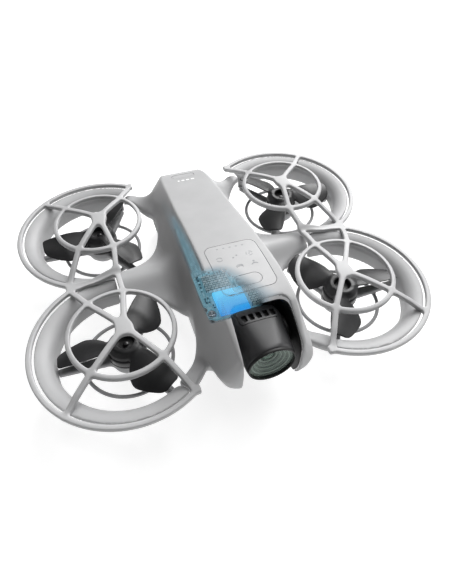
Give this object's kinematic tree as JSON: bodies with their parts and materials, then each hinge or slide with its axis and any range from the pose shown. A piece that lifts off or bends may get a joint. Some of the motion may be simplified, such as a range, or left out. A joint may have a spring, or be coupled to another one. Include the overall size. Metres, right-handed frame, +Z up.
{
  "type": "mini palm drone",
  "caption": "Palm-size ducted camera drone with clip-on rotor guards, a tilting camera pod between nose cheeks, top controls and a battery that slides out at the tail.",
  "frame": {"origin": "on the floor under the middle of the bounding box", "axes": "+Z up, -Y towards the nose and camera, +X towards the aircraft's own left"},
  "size_m": [0.1568, 0.1304, 0.0485],
  "materials": {
    "shell": "fine matte moulded grey",
    "guard": "fine matte moulded grey",
    "propeller": "satin charcoal",
    "motor_can": "black anodised",
    "winding": "lacquered copper wire",
    "pod": "graphite satin",
    "black_trim": "black satin",
    "sensor_window": "gloss black",
    "lens_glass": "coated glass, green tint",
    "board": "blue-green solder mask",
    "memory_blue": "bright blue",
    "shield_steel": "brushed",
    "heat_aluminium": "bead blasted"
  },
  "bodies": {
    "airframe": {"upper_shell": "shell", "indicator_panel": "shell", "lower_shell": "shell", "duct_lip_front_left": "shell", "duct_lip_front_right": "shell", "duct_lip_rear_left": "shell", "duct_lip_rear_right": "shell", "guard_cage_front_left": "guard", "guard_cage_front_right": "guard", "guard_cage_rear_left": "guard", "guard_cage_rear_right": "guard", "guard_hoop_front_left": "guard", "guard_hoop_front_right": "guard", "guard_hoop_rear_left": "guard", "guard_hoop_rear_right": "guard", "guard_waist_left": "guard", "guard_waist_right": "guard", "motor_mount_front_left": "guard", "motor_mount_front_right": "guard", "motor_mount_rear_left": "guard", "motor_mount_rear_right": "guard", "gimbal_motor": "motor_can", "motor_stator_front_left": "winding", "motor_stator_front_right": "winding", "motor_stator_rear_left": "winding", "motor_stator_rear_right": "winding", "gimbal_bracket": "black_trim", "camera_bay_liner": "black_trim", "battery_connector": "black_trim", "downward_sensor": "black_trim", "downward_sensor_window": "sensor_window", "mainboard": "board", "side_board": "board", "memory_chip": "memory_blue", "processor_shield": "shield_steel", "radio_shield": "shield_steel", "board_screw": "shield_steel", "charging_port": "shield_steel", "heat_spreader": "heat_aluminium"},
    "rotor_front_left": {"propeller_front_left": "propeller", "motor_bell_front_left": "motor_can"},
    "rotor_front_right": {"propeller_front_right": "propeller", "motor_bell_front_right": "motor_can"},
    "rotor_rear_left": {"propeller_rear_left": "propeller", "motor_bell_rear_left": "motor_can"},
    "rotor_rear_right": {"propeller_rear_right": "propeller", "motor_bell_rear_right": "motor_can"},
    "camera_pod": {"pod_housing": "pod", "lens_ring": "black_trim", "lens_glass": "lens_glass", "lens_barrel": "black_trim", "camera_sensor_board": "board"},
    "mode_button": {"mode_button": "shell"},
    "power_button": {"power_button": "shell"},
    "battery": {"battery_pack": "shell"},
    "buckle_left": {"battery_buckle_left": "black_trim"},
    "buckle_right": {"battery_buckle_right": "black_trim"}
  },
  "joints": [
    {"name": "rotor_spin_front_left", "type": "hinge", "parent": "airframe", "child": "rotor_front_left", "pos_m": [0.0441, -0.0308, 0.0215], "axis": [0, 0, 1], "continuous": true},
    {"name": "rotor_spin_front_right", "type": "hinge", "parent": "airframe", "child": "rotor_front_right", "pos_m": [-0.0441, -0.0308, 0.0215], "axis": [0, 0, 1], "continuous": true},
    {"name": "rotor_spin_rear_left", "type": "hinge", "parent": "airframe", "child": "rotor_rear_left", "pos_m": [0.0441, 0.0308, 0.0215], "axis": [0, 0, 1], "continuous": true},
    {"name": "rotor_spin_rear_right", "type": "hinge", "parent": "airframe", "child": "rotor_rear_right", "pos_m": [-0.0441, 0.0308, 0.0215], "axis": [0, 0, 1], "continuous": true},
    {"name": "camera_tilt", "type": "hinge", "parent": "airframe", "child": "camera_pod", "pos_m": [0, -0.049, 0.0331], "axis": [-1, 0, 0], "range_deg": [-90, 60]},
    {"name": "mode_button_press", "type": "slide", "parent": "airframe", "child": "mode_button", "axis": [0, 0, -1], "range_m": [0, 0.0003], "stiffness_N_per_m": 3000},
    {"name": "power_button_press", "type": "slide", "parent": "airframe", "child": "power_button", "axis": [0, 0, -1], "range_m": [0, 0.0003], "stiffness_N_per_m": 3000},
    {"name": "battery_slide", "type": "slide", "parent": "airframe", "child": "battery", "axis": [0, 1, 0], "range_m": [0, 0.07]},
    {"name": "buckle_press_left", "type": "slide", "parent": "battery", "child": "buckle_left", "axis": [-1, 0, 0], "range_m": [0, 0.0012], "stiffness_N_per_m": 2000},
    {"name": "buckle_press_right", "type": "slide", "parent": "battery", "child": "buckle_right", "axis": [1, 0, 0], "range_m": [0, 0.0012], "stiffness_N_per_m": 2000}
  ]
}
